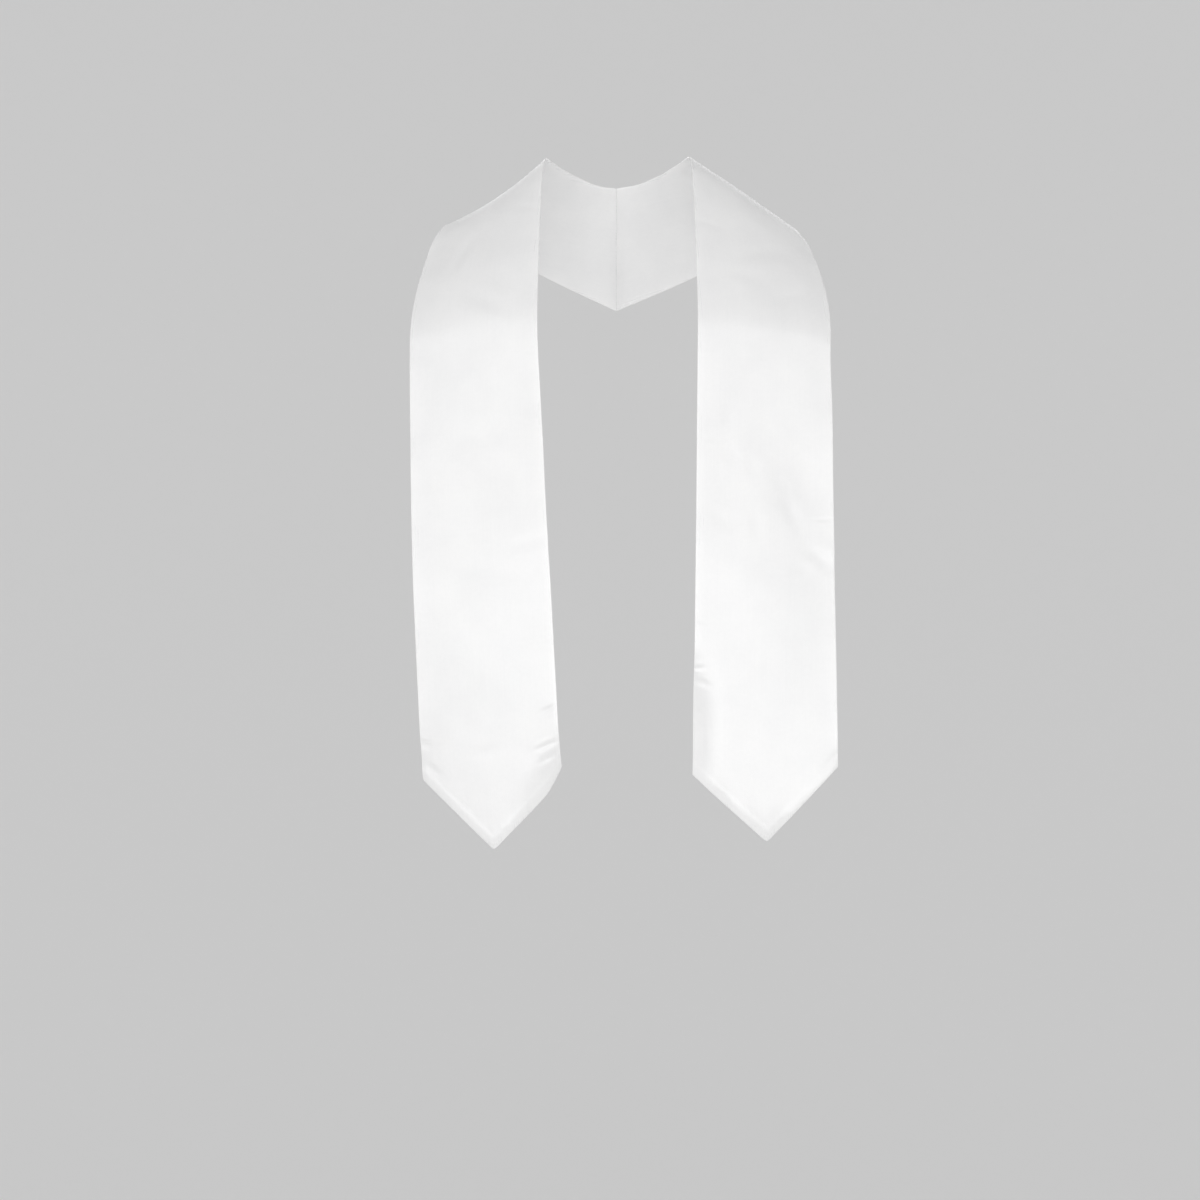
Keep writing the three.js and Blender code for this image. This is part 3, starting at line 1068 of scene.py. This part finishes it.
# %% Make the satin
def new_material(name, color):
    """A material with an empty tree but for its shader and output. The colour is for viewports."""
    material = bpy.data.materials.new(name)
    material.use_nodes = True
    material.diffuse_color = color
    tree = material.node_tree
    return material, tree, tree.nodes["Principled BSDF"]


def blend_colors(tree, share, first, second):
    """A mix of two colours by a share from 0 to 1."""
    node = add_node(tree, "ShaderNodeMix", data_type="RGBA")
    color_inputs = [socket for socket in node.inputs if socket.type == "RGBA"]
    color_inputs[0].default_value = first
    color_inputs[1].default_value = second
    tree.links.new(share, node.inputs["Factor"])
    return next(socket for socket in node.outputs if socket.type == "RGBA")


def relief(tree, height, distance_there, normal=None):
    """The normal of a Bump node for that height."""
    links = {"Height": height, "Distance": distance_there, "Strength": 1.0}
    if normal is not None:
        links["Normal"] = normal
    return add_node(tree, "ShaderNodeBump", links).outputs["Normal"]


def sum_of_marks(tree, marks, rows):
    """The sum of some marks, each carried from 0 to 1 to its own range."""
    total = None
    for row in rows:
        part = remap(tree, marks[row.mark], row.low, row.high)
        total = part if total is None else arithmetic(tree, "ADD", total, part)
    return total


def satin_marks(tree, cloth, weave):
    """The values, all over the cloth, that colour and roughness are made from."""
    width, length = STREAK_WIDTH, STREAK_LENGTH
    streaks = use_group(tree, streak_group, Cloth=cloth, Width=width, Length=length)
    clouds = use_group(tree, marks_group, Cloth=cloth, Span=CLOUD_SPAN)
    # the edge mask, which smooths the gloss and whitens the edges as a painted highlight
    pressed = add_node(tree, "ShaderNodeAttribute", attribute_name="pressed")
    return {
        "streak": streaks.outputs["Streak"],
        "mottle": clouds.outputs["Mottle"],
        "cloud": clouds.outputs["Cloud"],
        "yarn": weave.outputs["Yarn"],
        "pressed": pressed.outputs["Fac"],
    }


def make_satin():
    material, tree, shader = new_material("white_satin", SATIN_WHITE)
    cloth = add_node(tree, "ShaderNodeUVMap", uv_map="flat_cloth").outputs["UV"]
    weave = use_group(tree, weave_group, Cloth=cloth, Pitch=YARN_PITCH)
    marks = satin_marks(tree, cloth, weave)
    color = blend_colors(tree, sum_of_marks(tree, marks, WHITENESS), SATIN_SHADE, SATIN_WHITE)
    tree.links.new(color, shader.inputs["Base Color"])
    tree.links.new(sum_of_marks(tree, marks, ROUGHNESS), shader.inputs["Roughness"])
    normal = relief(tree, marks["mottle"], MOTTLE_RELIEF)
    normal = relief(tree, weave.outputs["Height"], YARN_RELIEF, normal)
    tree.links.new(normal, shader.inputs["Normal"])
    tangent = add_node(tree, "ShaderNodeTangent", direction_type="UV_MAP", uv_map="flat_cloth")
    tree.links.new(tangent.outputs[0], shader.inputs["Tangent"])
    shader.inputs["Anisotropic"].default_value = SATIN_STRETCH
    shader.inputs["Specular IOR Level"].default_value = SATIN_SPECULAR
    shader.inputs["IOR"].default_value = SATIN_IOR
    shader.inputs["Sheen Weight"].default_value = SATIN_SHEEN
    shader.inputs["Sheen Roughness"].default_value = SHEEN_ROUGHNESS
    return material


satin = make_satin()

# %% [markdown]
# ## Sewing thread
#
# The thread is twisted polyester in the same white. It is duller than the satin, because its
# fibres turn round it. It shares the streaks and the marks, read from its own place in space, as a
# tube this small needs no UV map.


# %% Make the thread
FIBRE_WIDTH = 0.05 * MM
FIBRE_LENGTH = 0.3 * MM
FIBRE_RELIEF = 0.02 * MM
THREAD_SPAN = 12 * MM  # of its uneven shine
THREAD_ROUGHNESS = 0.5, 0.65


def make_thread():
    material, tree, shader = new_material("sewing_thread", SATIN_WHITE)
    place = add_node(tree, "ShaderNodeTexCoord").outputs["Object"]
    width, length = FIBRE_WIDTH, FIBRE_LENGTH
    fibres = use_group(tree, streak_group, Cloth=place, Width=width, Length=length)
    marks = use_group(tree, marks_group, Cloth=place, Span=THREAD_SPAN)
    fibre = fibres.outputs["Streak"]
    tree.links.new(blend_colors(tree, fibre, SATIN_SHADE, SATIN_WHITE), shader.inputs["Base Color"])
    rough = remap(tree, marks.outputs["Cloud"], *THREAD_ROUGHNESS)
    tree.links.new(rough, shader.inputs["Roughness"])
    tree.links.new(relief(tree, fibre, FIBRE_RELIEF), shader.inputs["Normal"])
    return material


thread_finish = make_thread()
print("materials:", satin.name, thread_finish.name)

# %% [markdown]
# ## Tie the pieces to the imported model
#
# Each band rides on the one body that the model has, stands for its solid and says what cloth it
# is. The seam's thread goes with the left band.

# %% Finish, ride and replace
for half in HALVES:
    piece = bands[half.name]
    piece.data.materials.append(satin)
    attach(piece, "root")
    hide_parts(half.name)
thread.data.materials.append(thread_finish)
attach(thread, "root")

for half in HALVES:
    around = outline_of(cuts[half.name])

# %% [markdown]
# ## A light tent
#
# White satin in a white room needs even light and a background that is a little darker than it is.
# A light tent does this: one sheet of pale paper is the floor, sweeps up into a round wall and
# glows a little all over. Because it is round, the sides and the back can be looked at too. The
# floor lies as far below the stole as it does when one stands in it.

# %% Sizes of the tent
FLOOR = -1.42  # height of the floor, below the shoulder line
INNER_RING = 0.05  # radius of the first ring of the floor, which one face closes
FLAT_RADIUS = 3.2
FLOOR_RINGS = 8
SWEEP = 1.6  # radius of the sweep from the floor to the wall
WALL_TOP = 2.6
TENT_SEGMENTS = 128
SWEEP_STEPS = 16
PAPER = (0.55, 0.55, 0.55, 1.0)
PAPER_GLOW = 0.28


# %% Make the tent
def tent_profile():
    """Radius and height from the middle of the floor to the top of the wall."""
    flat = [(radius, FLOOR) for radius in np.linspace(INNER_RING, FLAT_RADIUS, FLOOR_RINGS)]
    angles = np.linspace(0, math.pi / 2, SWEEP_STEPS + 1)[1:]
    bend = [
        (FLAT_RADIUS + SWEEP * math.sin(angle), FLOOR + SWEEP * (1 - math.cos(angle)))
        for angle in angles
    ]
    return np.array(flat + bend + [(FLAT_RADIUS + SWEEP, WALL_TOP)])


def make_tent():
    profile = tent_profile()
    turns = np.arange(TENT_SEGMENTS) * 2 * math.pi / TENT_SEGMENTS
    x = profile[:, :1] * np.cos(turns)
    y = profile[:, :1] * np.sin(turns)
    z = np.repeat(profile[:, 1:], TENT_SEGMENTS, axis=1)
    places = np.stack([x, y, z], axis=-1).reshape(-1, 3)
    numbers = np.arange(len(places)).reshape(len(profile), TENT_SEGMENTS)
    wrapped = np.hstack([numbers, numbers[:, :1]])
    faces = grid_faces(wrapped).tolist() + [numbers[0].tolist()]
    return new_mesh("light_tent", places, faces)


def make_paper():
    material, tree, shader = new_material("tent_paper", PAPER)
    shader.inputs["Base Color"].default_value = PAPER
    shader.inputs["Roughness"].default_value = 1.0
    shader.inputs["Specular IOR Level"].default_value = 0.0
    shader.inputs["Emission Color"].default_value = (1.0, 1.0, 1.0, 1.0)
    shader.inputs["Emission Strength"].default_value = PAPER_GLOW
    return material


tent = make_tent()
tent.data.materials.append(make_paper())

# %% [markdown]
# ## Light
#
# In the photograph the hanging cloth is nearly white, and the slopes on the shoulders are a light
# grey. So the main light comes from straight ahead, and little comes from above. A broad soft box
# behind the camera does that. The satin mirrors the upper edge of this box, which makes the step in
# tone below the shoulders. A low box fills the points, one lights the back, and two narrower ones
# light the sides. All are large and dim, because small bright ones leave jagged glints along the
# ridges of the shoulders. In a studio, flags keep the boxes off the paper, so that it stays even.
# Light linking is Blender's way to do that: each box names the collection that it lights.

# %% Soft boxes and a dim sky
SKY = 0.50
SOFT_BOXES = table(
    "name place wide high power",  # metres and watts
    ("front_box", (-0.15, -3.25, -0.05), 5.2, 2.8, 53),
    ("low_box", (-0.15, -3.15, -0.90), 4.8, 0.9, 9),
    ("back_box", (-0.2, 3.4, 0.3), 5.2, 3.2, 52),
    ("left_box", (3.8, 0.3, -0.2), 2.0, 2.3, 8),
    ("right_box", (-3.8, 0.3, -0.2), 2.0, 2.3, 12),
)
AIM = (0.0, 0.0, -0.35)


def aim(thing, target):
    """Turns a light or camera towards a place."""
    away = [a - b for a, b in zip(thing.location, target)]
    thing.rotation_euler = (
        math.atan2(math.hypot(away[0], away[1]), away[2]),
        0.0,
        math.atan2(away[0], -away[1]),
    )


def make_soft_box(box, lit):
    """A soft box that lights only the pieces of a collection."""
    lamp = bpy.data.lights.new(box.name, "AREA")
    lamp.shape = "RECTANGLE"
    lamp.size, lamp.size_y, lamp.energy = box.wide, box.high, box.power
    stand = bpy.data.objects.new(box.name, lamp)
    stand.location = box.place
    aim(stand, AIM)
    stand.visible_camera = False
    stand.light_linking.receiver_collection = lit
    bpy.context.scene.collection.objects.link(stand)


lit_pieces = bpy.data.collections.new("lit_by_boxes")
for piece in (*bands.values(), thread):
    lit_pieces.objects.link(piece)
for box in SOFT_BOXES:
    make_soft_box(box, lit_pieces)

world = bpy.data.worlds.new("dim_sky")
world.use_nodes = True
world.node_tree.nodes["Background"].inputs["Color"].default_value = (SKY, SKY, SKY, 1.0)
bpy.context.scene.world = world
bpy.context.scene.view_settings.view_transform = "Standard"

# %% [markdown]
# ## Camera
#
# The photograph is square, level and taken from some way off: the two points are seen straight on,
# and the far seam hardly shrinks. Three metres away with an 87 mm lens gives the same framing,
# worked out from the width of the bands, which are 145 mm and measure about 145 pixels of 1200.

# %% Place the camera
CAMERA_PLACE = (-17.5 * MM, -3.0, -0.457)
CAMERA_LENS = 87.0  # millimetres, on a sensor 36 mm wide
CAMERA_SENSOR = 36.0
PHOTO_SIZE = 1200  # pixels

eye = bpy.data.cameras.new("camera")
eye.lens, eye.sensor_width = CAMERA_LENS, CAMERA_SENSOR
eye.clip_start, eye.clip_end = 0.05, 50.0
camera = bpy.data.objects.new("camera", eye)
camera.location = CAMERA_PLACE
camera.rotation_euler = (math.pi / 2, 0.0, 0.0)
bpy.context.scene.collection.objects.link(camera)
bpy.context.scene.camera = camera


def pixel_of(place):
    """Where a place falls in the photograph, in pixels from its upper left corner."""
    scale = PHOTO_SIZE * CAMERA_LENS / CAMERA_SENSOR / (place[1] - CAMERA_PLACE[1])
    across, up = place[0] - CAMERA_PLACE[0], place[2] - CAMERA_PLACE[2]
    return round(PHOTO_SIZE / 2 + across * scale), round(PHOTO_SIZE / 2 - up * scale)


for half in HALVES:
    lower = shapes[half.name]["middle"][-1]
    corners = [lower[index] * (half.side, 1, 1) for index in (0, len(columns) // 2, -1)]
    print(half.name, "inner corner, tip and outer corner at", [pixel_of(c) for c in corners])
